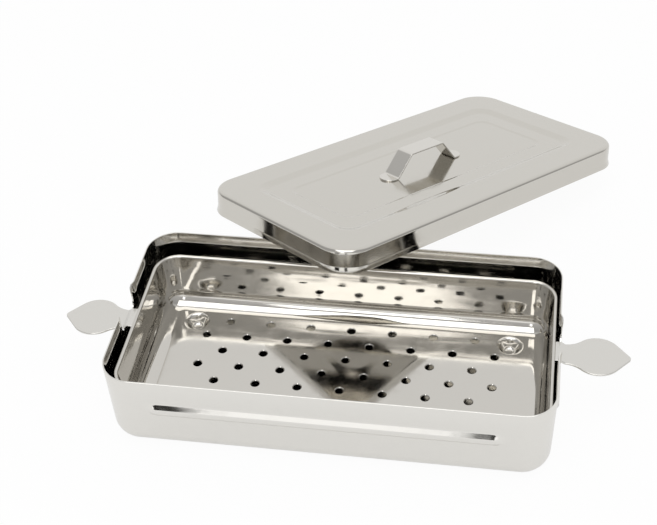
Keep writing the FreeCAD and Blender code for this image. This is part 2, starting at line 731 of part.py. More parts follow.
def lid_rest():
    """Where the lid leans: its skirt's lower edge lies across the pan's rear rim, turned about the
    vertical, and its rearmost corner reaches down to the table."""
    turn = math.radians(size.lid_turn.value)
    corner = (lid_corner + size.skirt_flare).value
    half_length = (lid_length / 2 + size.skirt_flare).value
    half_width = (lid_width / 2 + size.skirt_flare).value
    rear_reach = ((half_length - corner) * math.sin(turn) + (half_width - corner) * math.cos(turn) + corner)
    behind = size.lid_behind_rim.value
    tilt = math.asin(size.pan_height.value / (behind + rear_reach))
    lean = FreeCAD.Rotation(FreeCAD.Vector(1, 0, 0), -math.degrees(tilt))
    spin = FreeCAD.Rotation(FreeCAD.Vector(0, 0, 1), size.lid_turn.value)
    rim = FreeCAD.Vector(size.lid_shift.value, size.pan_width.value / 2,
                         size.pan_height.value + size.lid_rest_gap.value)
    centre = rim + lean.multVec(FreeCAD.Vector(0, behind, 0))
    return FreeCAD.Placement(centre, lean.multiply(spin))


bodies = [make_pan(), make_tray(), make_tray_handle("tray_handle_right", 0.0),
          make_tray_handle("tray_handle_left", 180.0), make_lid(), make_lid_handle()]
for lid_piece in bodies[-2:]:
    lid_piece.Placement = lid_rest()
doc.recompute()

for item in doc.Objects:
    if "Invalid" in item.State or "Error" in item.State:
        raise RuntimeError(f"{item.Name} could not be built")
os.makedirs("parts", exist_ok=True)
for body in bodies:
    shape = body.Shape
    if shape.isNull() or not shape.isValid() or len(shape.Solids) != 1:
        raise RuntimeError(f"{body.Label} is not one sound solid")
    box = shape.BoundBox
    print(f"{body.Label}: {box.XLength:.1f} x {box.YLength:.1f} x {box.ZLength:.1f} mm, "
          f"volume {shape.Volume / 1000:.2f} cm3")
    shape.exportStep(os.path.join("parts", f"{body.Label}.step"))
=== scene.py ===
# %% [markdown]
# A sterilization container in polished stainless steel
#
# The real object is thin sheet metal: a deep pan, a perforated tray that stands in it, two leaf handles, and
# a lid with a strap. The solids come with the frame. They are exact, but their facets break up a mirror
# finish, so each piece is laid again here with closer, even faces, in the same place and at the same size.

# %% Frame and units
import math

import bmesh
import bpy
from mathutils import Matrix, Vector


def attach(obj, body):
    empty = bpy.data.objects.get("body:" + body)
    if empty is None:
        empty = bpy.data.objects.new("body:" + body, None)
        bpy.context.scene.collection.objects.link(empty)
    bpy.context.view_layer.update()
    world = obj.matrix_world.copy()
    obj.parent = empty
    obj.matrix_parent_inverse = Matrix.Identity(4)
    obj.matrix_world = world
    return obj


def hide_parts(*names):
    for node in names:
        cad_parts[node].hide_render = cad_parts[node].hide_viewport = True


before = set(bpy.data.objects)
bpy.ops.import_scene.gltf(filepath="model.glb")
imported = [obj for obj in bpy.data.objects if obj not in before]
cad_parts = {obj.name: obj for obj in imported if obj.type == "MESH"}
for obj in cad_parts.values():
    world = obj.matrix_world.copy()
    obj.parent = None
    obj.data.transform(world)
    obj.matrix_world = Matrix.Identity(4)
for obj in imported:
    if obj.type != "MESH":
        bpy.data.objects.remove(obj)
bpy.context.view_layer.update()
MM = 0.001
print("solids:", ", ".join(sorted(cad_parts)))

# %% [markdown]
# Everything on this object follows from the pan, so its sizes come first, in millimetres. They are the
# driving sizes of the solids. A drawn vessel is described from its rim inwards, so most of them are
# distances in from the outline or down from the edge.

# %% Sizes of the pan
PAN_LENGTH, PAN_WIDTH, PAN_HEIGHT, PAN_CORNER = 254.0, 130.0, 54.0, 18.0
PAN_DRAFT = math.radians(1.7)
PAN_BOTTOM_RADIUS = 12.0
SHEET = 0.8
RIB_HEIGHT, RIB_RISE, RIB_DROP, RIB_END_MARGIN = 10.0, 2.0, 21.3, 27.0
NOTCH_WIDTH, NOTCH_DEPTH, NOTCH_CORNER, NOTCH_FLARE = 25.0, 15.0, 4.0, 2.0
print(f"pan {PAN_LENGTH:.0f} x {PAN_WIDTH:.0f} x {PAN_HEIGHT:.0f} mm, of {SHEET} mm sheet")

# %% [markdown]
# Sheet metal is bent, never folded to a knife edge. A Bevel modifier could round the bends, but each has its
# own radius, and a section is only a few points. So one helper rounds the corners of a section drawn as
# straight runs. It also leaves a close pair of points where a bend meets a flat, so that the shading of the
# bend doesn't creep over the flat. On a mirror finish that would show as a smear.

# %% Rounded sections
BEND_STEP = math.radians(9.0)
FEWEST_STEPS = 3
SUPPORT = 0.3
CUT_EDGE, CUT_EDGE_PULL = 0.22, 0.3


def rounded_path(corners):
    """Points along straight runs whose corners (u, v, radius) are rounded."""
    points = [Vector((u, v)) for u, v, radius in corners]
    path = [points[0]]
    for i in range(1, len(corners) - 1):
        arriving = (points[i] - points[i - 1]).normalized()
        leaving = (points[i + 1] - points[i]).normalized()
        cross = arriving.x * leaving.y - arriving.y * leaving.x
        turn = math.atan2(cross, arriving.dot(leaving))
        radius = corners[i][2]
        start = points[i] - arriving * radius * math.tan(abs(turn) / 2)
        centre = start + Vector((-arriving.y, arriving.x)) * math.copysign(radius, turn)
        steps = max(FEWEST_STEPS, math.ceil(abs(turn) / BEND_STEP))
        path.append(start - arriving * SUPPORT)
        for k in range(steps + 1):
            path.append(centre + Matrix.Rotation(turn * k / steps, 2) @ (start - centre))
        path.append(path[-1] + leaving * SUPPORT)
    return path + [points[-1]]


def thickened(path, gauge):
    """The same path a gauge away: on its left for a positive gauge, on its right for a negative one."""
    moved = []
    for i, point in enumerate(path):
        before = point - path[i - 1] if i else path[1] - path[0]
        after = path[i + 1] - point if i < len(path) - 1 else before
        along = (before.normalized() + after.normalized()).normalized()
        stretch = 1 / along.dot(before.normalized())
        moved.append(point + Vector((-along.y, along.x)) * gauge * stretch)
    return moved


def with_cut_edge(face, other):
    """Section that runs out along one face of the sheet, round its cut edge and back along the other."""
    loop = face + list(reversed(other))
    softened = []
    for i, point in enumerate(loop):
        if i in (len(face) - 1, len(face)):
            back = (loop[i - 1] - point).normalized() * CUT_EDGE
            ahead = (loop[i + 1] - point).normalized() * CUT_EDGE
            softened += [point + back, point + (back + ahead) * CUT_EDGE_PULL, point + ahead]
        else:
            softened.append(point)
    return softened


print(f"a square bend takes {math.ceil(math.pi / 2 / BEND_STEP)} faces")

# %% [markdown]
# Every vessel here is a stack of rounded rectangles. A ring is one of them, walked in the same number of
# steps whatever its size, so that two rings always join in clean four-sided faces. Extruding and scaling by
# hand would give the same stack, but not points at known places. Long flats get many steps, because the
# pressed ribs are pushed out of them point by point.

# %% Rings and skins
LONG_STEPS, SHORT_STEPS, CORNER_STEPS = 104, 44, 14
SHARP = math.radians(40)
MERGE_METRES = 1e-7


def ring(half_x, half_y, corner, height):
    """Points round a rounded rectangle, counter-clockwise from the right side."""
    reach_x, reach_y = half_x - corner, half_y - corner
    points = []
    for k, (sx, sy) in enumerate(((1, 1), (-1, 1), (-1, -1), (1, -1))):
        if k % 2 == 0:
            for i in range(SHORT_STEPS):
                points.append((sx * half_x, sy * reach_y * (2 * i / SHORT_STEPS - 1)))
        else:
            for i in range(LONG_STEPS):
                points.append((-sx * reach_x * (1 - 2 * i / LONG_STEPS), sy * half_y))
        for i in range(CORNER_STEPS):
            angle = math.pi / 2 * (k + i / CORNER_STEPS)
            points.append((sx * reach_x + corner * math.cos(angle), sy * reach_y + corner * math.sin(angle)))
    return [Vector((x, y, height)) for x, y in points]


def finished(name, mesh):
    """Object of a mesh whose faces point outwards and are smooth up to the sharp edges."""
    work = bmesh.new()
    work.from_mesh(mesh)
    bmesh.ops.remove_doubles(work, verts=work.verts, dist=MERGE_METRES)
    loose = [edge for edge in work.edges if not edge.link_faces]
    bmesh.ops.delete(work, geom=loose, context="EDGES")
    bmesh.ops.recalc_face_normals(work, faces=work.faces)
    if work.calc_volume(signed=True) < 0:
        bmesh.ops.reverse_faces(work, faces=work.faces)
    work.to_mesh(mesh)
    work.free()
    mesh.shade_smooth()
    mesh.set_sharp_from_angle(angle=SHARP)
    obj = bpy.data.objects.new(name, mesh)
    bpy.context.scene.collection.objects.link(obj)
    print(f"{name}: {len(mesh.polygons)} faces")
    return obj


def skinned(name, rings, caps=(True, True), looped=False, place=Matrix.Identity(4)):
    """Mesh object with faces between neighbouring rings, and a face over the first and last if asked."""
    count = len(rings[0])
    points = [place @ p * MM for points in rings for p in points]
    faces = []
    for i in range(len(rings) if looped else len(rings) - 1):
        low, high = i * count, (i + 1) % len(rings) * count
        for j in range(count):
            k = (j + 1) % count
            faces.append((low + j, low + k, high + k, high + j))
    if caps[0]:
        faces.append(tuple(reversed(range(count))))
    if caps[1]:
        faces.append(tuple(range((len(rings) - 1) * count, len(rings) * count)))
    mesh = bpy.data.meshes.new(name)
    mesh.from_pydata(points, [], faces)
    return finished(name, mesh)


print(f"a ring has {2 * (LONG_STEPS + SHORT_STEPS + 2 * CORNER_STEPS)} points")

# %% [markdown]
# The sheet is stainless steel of grade 304, rolled, pressed and then polished on a mop. It is a conductor,
# so all of its colour is in its reflection: a slightly warm pale grey. A polished pressing is never quite
# flat, and what the eye reads as sheet metal is the slow swimming of its reflections. That could be sculpted
# into the mesh, but a weak bump with waves of one to a few centimetres gives it with fewer faces. The mop
# leaves a fine haze, in cloudy patches just under a centimetre wide, and that goes into the roughness.

# %% Polished steel
SMEAR = 9.0
SMEAR_FROM, SMEAR_TO = 0.35, 0.65
SMEAR_DETAIL, DENT_DETAIL = 4.0, 1.0


def linear(code):
    """Linear colour from an sRGB hex code."""
    channels = [int(code[i:i + 2], 16) / 255 for i in (1, 3, 5)]
    return [c / 12.92 if c <= 0.04045 else ((c + 0.055) / 1.055) ** 2.4 for c in channels] + [1.0]


def add_node(tree, kind, settings=None, links=None):
    """New node. Settings are its attributes; links give inputs, by name or number, a value or a socket."""
    node = tree.nodes.new(kind)
    for key, value in (settings or {}).items():
        setattr(node, key, value)
    for key, value in (links or {}).items():
        if isinstance(value, bpy.types.NodeSocket):
            tree.links.new(value, node.inputs[key])
        else:
            node.inputs[key].default_value = value
    return node


def polished_steel(name, colour, roughness, haze, dents, depth):
    """Mop-polished 304 stainless. The haze varies the roughness. The dents' width along x, y and z and
    their depth are in millimetres."""
    material = bpy.data.materials.new(name)
    material.use_nodes = True
    tree = material.node_tree
    shader = tree.nodes["Principled BSDF"]
    place = add_node(tree, "ShaderNodeTexCoord").outputs["Object"]
    smear = add_node(tree, "ShaderNodeTexNoise", {}, {
        "Vector": place, "Scale": 1 / (SMEAR * MM), "Detail": SMEAR_DETAIL})
    rough = add_node(tree, "ShaderNodeMapRange", {}, {
        "Value": smear.outputs["Fac"], "From Min": SMEAR_FROM, "From Max": SMEAR_TO,
        "To Min": roughness - haze, "To Max": roughness + haze})
    stretched = add_node(tree, "ShaderNodeMapping", {}, {
        "Vector": place, "Scale": [1 / (wave * MM) for wave in dents]})
    dented = add_node(tree, "ShaderNodeTexNoise", {}, {
        "Vector": stretched.outputs["Vector"], "Scale": 1.0, "Detail": DENT_DETAIL})
    bump = add_node(tree, "ShaderNodeBump", {}, {
        "Height": dented.outputs["Fac"], "Strength": 1.0, "Distance": depth * MM})
    tree.links.new(rough.outputs["Result"], shader.inputs["Roughness"])
    tree.links.new(bump.outputs["Normal"], shader.inputs["Normal"])
    shader.inputs["Base Color"].default_value = linear(colour)
    shader.inputs["Metallic"].default_value = 1.0
    return material


# %% Five finishes of the steel, whose colours carry painted light
# All five are the same 304 steel. Their base colours differ only as painted light and shade: each piece is
# made paler or darker to stand in for how much light it catches.
# The pan's colour is the palest, a painted brightness for the light its walls catch. Its walls are nearly
# even, with faint level waves left by the drawing.
pan_steel = polished_steel("polished_304_pan", "#E3E1DC", 0.10, 0.03, (45.0, 45.0, 14.0), 0.14)
# The tray is thinner sheet, and waves most: long low dents make its walls swim in bands.
tray_steel = polished_steel("polished_304_tray", "#CFCCC6", 0.09, 0.03, (60.0, 60.0, 7.0), 0.22)
# The lid's wide top is hazier, so that it shows the tone of the room and little of its shapes.
lid_steel = polished_steel("polished_304_lid", "#CFCCC5", 0.12, 0.04, (40.0, 40.0, 25.0), 0.18)
# The strap is a bent strip with small shallow dents, and its flats each take one clear tone.
strap_steel = polished_steel("polished_304_strap", "#DAD7D1", 0.12, 0.03, (15.0, 15.0, 15.0), 0.06)
# The leaves are the dullest, and look like an even pale grey with no mirror image in it.
leaf_steel = polished_steel("polished_304_leaf", "#DAD8D3", 0.20, 0.04, (35.0, 35.0, 35.0), 0.05)
steels = (pan_steel, tray_steel, lid_steel, strap_steel, leaf_steel)
print("finishes:", ", ".join(steel.name for steel in steels))


def dress(obj, material, body, slot, *nodes):
    """Gives a finished piece its material, says which body carries it, and hides the solids that it stands
    for.
    """
    obj.data.materials.clear()
    obj.data.materials.append(material)
    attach(obj, body)
    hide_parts(*nodes)


# %% [markdown]
# The pan is drawn from one sheet. Its section goes from the flat floor through a wide bend up a wall that
# leans out a little, so that the punch comes free, to a raw rim. The inside is the same line one sheet away.
# A plain surface with a Solidify modifier could stand for that, but its cut edge would be a hard corner. The
# floor is drawn only a short run in from its bend, since one flat face closes the rest.

# %% Section of the pan
FLOOR_RUN = 2.0
SMALLEST_CORNER = 0.5
pan_foot = math.tan(PAN_DRAFT) * PAN_HEIGHT
pan_outside = rounded_path([(pan_foot + PAN_BOTTOM_RADIUS + FLOOR_RUN, 0.0, 0),
                            (pan_foot, 0.0, PAN_BOTTOM_RADIUS), (0.0, PAN_HEIGHT, 0)])
pan_section = with_cut_edge(pan_outside, thickened(pan_outside, -SHEET))
print(f"the pan's section has {len(pan_section)} points, and its foot lies {pan_foot:.1f} mm in")

# %% [markdown]
# A long bead along each wall stiffens it. A press pushes it out of the sheet with a soft edge, on both faces
# at once. Under each notch the wall is turned out a little, so that the tray's handle slides over a smooth
# edge. Both could be sculpted or displaced by a texture. A function of the place on the wall gives the exact
# rise instead, and moving inside and outside together keeps the gauge.

# %% Ribs and notch lips
RIB_FLANK, RIB_SOFT = 0.75, 0.15
NOTCH_LIP, NOTCH_LIP_RUN, NOTCH_LIP_FADE = 1.3, 4.0, 5.0
notch_floor = PAN_HEIGHT - NOTCH_DEPTH
rib_level = PAN_HEIGHT - RIB_DROP


def bead(along, height, run):
    """How far a pressed rib stands out of the wall at a place along it."""
    radius = RIB_HEIGHT / 2
    beyond = max(abs(along) - (run / 2 - radius), 0.0)
    fade = 1 - math.hypot(beyond, height - rib_level) / radius
    fade = min(max(fade / RIB_FLANK, 0.0), 1.0)
    bend = 2 * RIB_SOFT * (1 - RIB_SOFT)
    if fade < RIB_SOFT:
        share = fade ** 2 / bend
    elif fade < 1 - RIB_SOFT:
        share = (fade - RIB_SOFT / 2) / (1 - RIB_SOFT)
    else:
        share = 1 - (1 - fade) ** 2 / bend
    return RIB_RISE * share


def turned_out(along, height):
    """How far the wall under a notch is bent out."""
    near = min(max((height - (notch_floor - NOTCH_LIP_RUN)) / NOTCH_LIP_RUN, 0.0), 1.0)
    fade = min(max((NOTCH_WIDTH / 2 + NOTCH_LIP_FADE - abs(along)) / NOTCH_LIP_FADE, 0.0), 1.0)
    return NOTCH_LIP * near * near * fade * fade * (3 - 2 * fade)


def pressed(points, reach_x, reach_y):
    """A ring of the pan with its ribs and notch lips pushed out of the flats, which end at the reaches."""
    moved = []
    for p in points:
        if abs(p.x) <= reach_x:
            push = Vector((0, math.copysign(bead(p.x, p.z, PAN_LENGTH - RIB_END_MARGIN * 2), p.y), 0))
        elif abs(p.y) <= reach_y:
            out = bead(p.y, p.z, PAN_WIDTH - RIB_END_MARGIN * 2) + turned_out(p.y, p.z)
            push = Vector((math.copysign(out, p.x), 0, 0))
        else:
            push = Vector((0, 0, 0))
        moved.append(p + push)
    return moved


print(f"ribs rise {RIB_RISE} mm, notch lips {NOTCH_LIP} mm")

# %% Pan
WALL_STEP = 0.6
BELOW_RIB, ABOVE_NOTCH_FLOOR = 1, 3


def closer(section, low, high, step):
    """The section with extra points where it climbs between two heights."""
    dense = []
    for a, b in zip(section, section[1:]):
        dense.append(a)
        if abs(b.y - a.y) > step:
            count = math.ceil(abs(b.y - a.y) / step)
            extra = [a.lerp(b, i / count) for i in range(1, count)]
            dense += [p for p in extra if low <= p.y <= high]
    return dense + [section[-1]]


rib_low = rib_level - RIB_HEIGHT / 2
pan_rings = []
for p in closer(pan_section, rib_low - BELOW_RIB, notch_floor + ABOVE_NOTCH_FLOOR, WALL_STEP):
    half_x, half_y = PAN_LENGTH / 2 - p.x, PAN_WIDTH / 2 - p.x
    corner = max(PAN_CORNER - p.x, SMALLEST_CORNER)
    pan_rings.append(pressed(ring(half_x, half_y, corner, p.y), half_x - corner, half_y - corner))
pan = skinned("pan_shell", pan_rings)

# %% [markdown]
# The notches are cut after drawing, so a boolean cut stands for the punch. Faces could also be left out of
# the wall, but the notch has round corners that no row of its faces follows. The cutter is a prism across
# the whole pan, which makes both notches at once. Above the rim its outline runs on at 45 degrees.

# %% Notches in the rim
NOTCH_SHOULDER_BEND = 1.0
PAST_RIM = NOTCH_FLARE * 2


def prism_along_x(name, outline, half_length):
    """Closed prism with an outline of (y, z) points."""
    rings = [[Vector((x, y, z)) for y, z in outline] for x in (-half_length, half_length)]
    return skinned(name, rings)


def settle(obj, modifier):
    """Keeps what the modifier makes as the object's plain mesh, and takes the modifier off."""
    graph = bpy.context.evaluated_depsgraph_get()
    mesh = bpy.data.meshes.new_from_object(obj.evaluated_get(graph))
    obj.modifiers.remove(modifier)
    obj.data = mesh
    mesh.shade_smooth()
    mesh.set_sharp_from_angle(angle=SHARP)
    print(f"{obj.name}: {len(mesh.polygons)} faces after the cut")


def cut_out(obj, cutter):
    """Takes the cutter's volume out of the object and removes the cutter."""
    modifier = obj.modifiers.new("cut", "BOOLEAN")
    modifier.object, modifier.operation, modifier.solver = cutter, "DIFFERENCE", "EXACT"
    settle(obj, modifier)
    bpy.data.objects.remove(cutter)


half_notch = NOTCH_WIDTH / 2
notch_side = rounded_path([(0.0, notch_floor, 0), (half_notch, notch_floor, NOTCH_CORNER),
                           (half_notch, PAN_HEIGHT - NOTCH_FLARE, NOTCH_SHOULDER_BEND),
                           (half_notch + NOTCH_FLARE + PAST_RIM, PAN_HEIGHT + PAST_RIM, 0)])
notch_outline = [(p.x, p.y) for p in notch_side[1:]] + [(-p.x, p.y) for p in reversed(notch_side[1:])]
cut_out(pan, prism_along_x("notch_punch", notch_outline, PAN_LENGTH))
dress(pan, pan_steel, "pan", "pan_steel", "outer_pan")

# %% [markdown]
# The tray is a second drawn vessel, which stands in the pan with a running gap all round. So its length and
# width come from the pan's, less the gaps. The gaps differ, because the tray has been pushed towards one
# corner. Only these sizes say so, and every piece on the tray follows its place.

# %% Sizes of the tray
TRAY_GAPS = {"left": 3.6, "right": 1.4, "front": 4.0, "back": 7.6}
TRAY_RIM_DROP, TRAY_SEAT_GAP, TRAY_SHEET, TRAY_CORNER = 10.9, 0.3, 0.7, 15.0
TRAY_BOTTOM_RADIUS, LIP_WIDTH, LIP_BEND = 11.0, 1.2, 0.5
TRAY_UPRIGHT, TRAY_FLARE = math.radians(0.8), math.radians(5.5)
FLARE_START, FLARE_BEND = 30.5, 150.0
FOOT_DEPTH, FOOT_DIAMETER = 6.0, 8.0
FOOT_DRAFT = math.radians(28.0)
FOOT_END_INSET, FOOT_SIDE_INSET = 26.0, 21.8
HOLE_DIAMETER, HOLE_PITCH, HOLE_ROW_PITCH = 5.0, 25.4, 12.7
HOLE_ROWS, HOLES_IN_LONG_ROW = 7, 8

lean_at_lip = math.tan(PAN_DRAFT) * TRAY_RIM_DROP
TRAY_LENGTH = PAN_LENGTH - (SHEET + lean_at_lip) * 2 - TRAY_GAPS["left"] - TRAY_GAPS["right"]
TRAY_WIDTH = PAN_WIDTH - (SHEET + lean_at_lip) * 2 - TRAY_GAPS["front"] - TRAY_GAPS["back"]
TRAY_BOTTOM = SHEET + TRAY_SEAT_GAP
TRAY_HEIGHT = PAN_HEIGHT - TRAY_RIM_DROP - TRAY_BOTTOM
TRAY_PLACE = Vector(((TRAY_GAPS["left"] - TRAY_GAPS["right"]) / 2,
                     (TRAY_GAPS["front"] - TRAY_GAPS["back"]) / 2, TRAY_BOTTOM))
print(f"tray {TRAY_LENGTH:.1f} x {TRAY_WIDTH:.1f} x {TRAY_HEIGHT:.1f} mm")

# %% [markdown]
# The tray's section is drawn like the pan's, with two differences. Its lower wall stands nearly upright and
# flares gently towards the top, which decides where the wall shows the mirror image of the holes. And it
# ends in a narrow lip that is turned out. Flare and lip are two more bends in the same line.

# %% Tray shell
tray_corner = TRAY_CORNER - LIP_WIDTH
tray_half = Vector((TRAY_LENGTH / 2 - LIP_WIDTH, TRAY_WIDTH / 2 - LIP_WIDTH))
flare_foot = math.tan(TRAY_FLARE) * (TRAY_HEIGHT - FLARE_START)
wall_foot = flare_foot + math.tan(TRAY_UPRIGHT) * (FLARE_START - FOOT_DEPTH)
tray_outside = rounded_path([
    (wall_foot + TRAY_BOTTOM_RADIUS + FLOOR_RUN, FOOT_DEPTH, 0), (wall_foot, FOOT_DEPTH, TRAY_BOTTOM_RADIUS),
    (flare_foot, FLARE_START, FLARE_BEND), (0.0, TRAY_HEIGHT - TRAY_SHEET, LIP_BEND),
    (-LIP_WIDTH, TRAY_HEIGHT - TRAY_SHEET, 0)])
tray_section = with_cut_edge(tray_outside, thickened(tray_outside, -TRAY_SHEET))
tray_rings = []
for p in tray_section:
    corner = max(tray_corner - p.x, SMALLEST_CORNER)
    tray_rings.append(ring(tray_half.x - p.x, tray_half.y - p.x, corner, p.y))
tray = skinned("tray_shell", tray_rings, place=Matrix.Translation(TRAY_PLACE))

# %% [markdown]
# The floor is perforated in staggered rows, so that steam and water pass, and it stands on four round feet
# pressed out of it. The holes repeat by a rule, so Geometry Nodes punches them: a grid of points, a round
# punch on each point, and one cut for the whole grid. Staggered rows are two such grids. Cutting each hole
# with its own modifier would work too, but would be slow and hard to change.

# %% Round punch in Geometry Nodes
ROUND_STEPS = 48


def punch_tree():
    """Cuts a grid of round holes, straight or flared, through a mesh. The punches rise from the base."""
    tree = bpy.data.node_groups.new("round_punch", "GeometryNodeTree")
    face = tree.interface
    face.new_socket("Geometry", in_out="INPUT", socket_type="NodeSocketGeometry")
    for name in ("Low Diameter", "Top Diameter", "Depth", "Step Along", "Step Across"):
        face.new_socket(name, in_out="INPUT", socket_type="NodeSocketFloat")
    for name in ("Along", "Across"):
        face.new_socket(name, in_out="INPUT", socket_type="NodeSocketInt")
    face.new_socket("Base", in_out="INPUT", socket_type="NodeSocketVector")
    face.new_socket("Steel", in_out="INPUT", socket_type="NodeSocketMaterial")
    face.new_socket("Geometry", in_out="OUTPUT", socket_type="NodeSocketGeometry")
    given = tree.nodes.new("NodeGroupInput").outputs
    span, radius = {}, {}
    for way in ("Along", "Across"):
        gaps = add_node(tree, "ShaderNodeMath", {"operation": "SUBTRACT"}, {0: given[way], 1: 1.0})
        span[way] = add_node(tree, "ShaderNodeMath", {"operation": "MULTIPLY"}, {
            0: given["Step " + way], 1: gaps.outputs["Value"]}).outputs["Value"]
    for end in ("Low", "Top"):
        radius[end] = add_node(tree, "ShaderNodeMath", {"operation": "MULTIPLY"}, {
            0: given[end + " Diameter"], 1: 0.5}).outputs["Value"]
    grid = add_node(tree, "GeometryNodeMeshGrid", {}, {
        "Size X": span["Along"], "Size Y": span["Across"],
        "Vertices X": given["Along"], "Vertices Y": given["Across"]})
    punch = add_node(tree, "GeometryNodeMeshCone", {}, {
        "Vertices": ROUND_STEPS, "Depth": given["Depth"],
        "Radius Bottom": radius["Low"], "Radius Top": radius["Top"]})
    placed = add_node(tree, "GeometryNodeSetPosition", {}, {
        "Geometry": grid.outputs["Mesh"], "Offset": given["Base"]})
    copies = add_node(tree, "GeometryNodeInstanceOnPoints", {}, {
        "Points": placed.outputs["Geometry"], "Instance": punch.outputs["Mesh"]})
    punches = add_node(tree, "GeometryNodeRealizeInstances", {}, {"Geometry": copies.outputs["Instances"]})
    cut = add_node(tree, "GeometryNodeMeshBoolean", {"operation": "DIFFERENCE", "solver": "EXACT"}, {
        "Mesh 1": given["Geometry"], "Mesh 2": punches.outputs["Geometry"]})
    whole = add_node(tree, "GeometryNodeRealizeInstances", {}, {"Geometry": cut.outputs["Mesh"]})
    dressed = add_node(tree, "GeometryNodeSetMaterial", {}, {
        "Geometry": whole.outputs["Geometry"], "Material": given["Steel"]})
    add_node(tree, "NodeGroupOutput", {}, {"Geometry": dressed.outputs["Geometry"]})
    return tree


PUNCH = punch_tree()
print("the punch has", len(PUNCH.nodes), "nodes")


def punched(obj, sizes):
    """Runs the punch on an object and keeps the result as its mesh."""
    modifier = obj.modifiers.new("punch", "NODES")
    modifier.node_group = PUNCH
    values = sizes | {"Steel": tray_steel}
    for item in PUNCH.interface.items_tree:
        if item.in_out == "INPUT" and item.name in values:
            modifier[item.identifier] = values[item.name]
    settle(obj, modifier)


# %% Holes and foot openings
ROLLED_EDGE, HAIR = 0.4, 0.02
PUNCH_DEPTH, PUNCH_UNDER = 6.0, 2.0
FOOT_BRIM = 1.6
FOOT_X = TRAY_LENGTH / 2 - FOOT_END_INSET
FOOT_Y = TRAY_WIDTH / 2 - FOOT_SIDE_INSET
foot_top = FOOT_DIAMETER / 2 + math.tan(FOOT_DRAFT) * FOOT_DEPTH
foot_opening = foot_top + FOOT_BRIM

floor_low = (TRAY_PLACE + Vector((0, 0, FOOT_DEPTH))) * MM
floor_top = floor_low + Vector((0, 0, TRAY_SHEET * MM))
straight = {"Depth": PUNCH_DEPTH * MM, "Base": floor_low + Vector((0, 0, -PUNCH_UNDER * MM))}
# The edge that a punch rolls over is a cone of 45 degrees through the top face. It starts a hair wider than
# the hole, because two cuts that share an edge leave slivers.
cone_low = HOLE_DIAMETER + HAIR * 2
rolled = {"Low Diameter": cone_low * MM, "Top Diameter": (cone_low + ROLLED_EDGE * 4) * MM,
          "Depth": ROLLED_EDGE * 2 * MM, "Base": floor_top - Vector((0, 0, ROLLED_EDGE * MM))}
hole = straight | {"Low Diameter": HOLE_DIAMETER * MM, "Top Diameter": HOLE_DIAMETER * MM}
opening = straight | {"Low Diameter": foot_opening * 2 * MM, "Top Diameter": foot_opening * 2 * MM}

long_rows = HOLE_ROWS // 2
for along, across in ((HOLES_IN_LONG_ROW, long_rows), (HOLES_IN_LONG_ROW - 1, HOLE_ROWS - long_rows)):
    rows = {"Step Along": HOLE_PITCH * MM, "Step Across": HOLE_ROW_PITCH * 2 * MM,
            "Along": along, "Across": across}
    punched(tray, rows | hole)
    punched(tray, rows | rolled)
feet_grid = {"Step Along": FOOT_X * 2 * MM, "Step Across": FOOT_Y * 2 * MM, "Along": 2, "Across": 2}
punched(tray, feet_grid | opening)

# %% [markdown]
# A foot is a cup pressed down out of the floor, with the same sheet all the way round it. It could be spun
# with a Screw modifier. Here its section is turned in steps of the same count as the punch, so that its brim
# fits the edge of its opening point for point. The middle of its floor is on the axis, where the points of
# all the steps merge into one.

# %% Feet
FOOT_EDGE_RADIUS, FOOT_BOTTOM_RADIUS = 2.0, 3.5
foot_outside = rounded_path([(foot_opening, FOOT_DEPTH, 0), (foot_top, FOOT_DEPTH, FOOT_EDGE_RADIUS),
                             (FOOT_DIAMETER / 2, 0.0, FOOT_BOTTOM_RADIUS), (0.0, 0.0, 0)])
foot_section = foot_outside + list(reversed(thickened(foot_outside, -TRAY_SHEET)))
feet = []
for sx, sy in ((1, 1), (-1, 1), (-1, -1), (1, -1)):
    centre = TRAY_PLACE + Vector((sx * FOOT_X, sy * FOOT_Y, 0))
    turned = []
    for k in range(ROUND_STEPS):
        angle = 2 * math.pi * k / ROUND_STEPS
        cos, sin = math.cos(angle), math.sin(angle)
        turned.append([centre + Vector((p.x * cos, p.x * sin, p.y)) for p in foot_section])
    feet.append(skinned(f"foot_{len(feet)}", turned, caps=(False, False), looped=True))
with bpy.context.temp_override(active_object=tray, selected_editable_objects=[tray] + feet):
    bpy.ops.object.join()
dress(tray, tray_steel, "tray", "tray_steel", "perforated_tray")
print(f"tray with its feet: {len(tray.data.polygons)} faces")

# %% [markdown]
# A leaf handle starts as a strip with its plan cut out, which is then bent. A flat shape could be bent by a
# modifier too, but that stretches the metal in the bends. So it is laid as a row of cross sections along the
# bent line, each as wide as the leaf is there. The plan is arcs and straight flanks joined tangent. The
# strip's leg leans with the tray's wall, and its hook passes over the pan's notch.

# %% Sizes of the handles
STRIP, STRIP_BEND, STRIP_LEG, NECK_WIDTH = 1.2, 1.0, 15.0, 15.4
LEG_LEAN = math.radians(3.0)
HOOK_REACH, HOOK_RUN, HOOK_DROP = 3.4, 2.6, 1.7
LEAF_LENGTH, LEAF_WIDTH, LEAF_BELLY = 36.5, 29.6, 18.2
LEAF_BELLY_RADIUS, LEAF_NECK_RADIUS, LEAF_TIP_RADIUS = 14.0, 15.0, 2.9
print(f"leaf {LEAF_LENGTH} x {LEAF_WIDTH} mm, of {STRIP} mm strip")


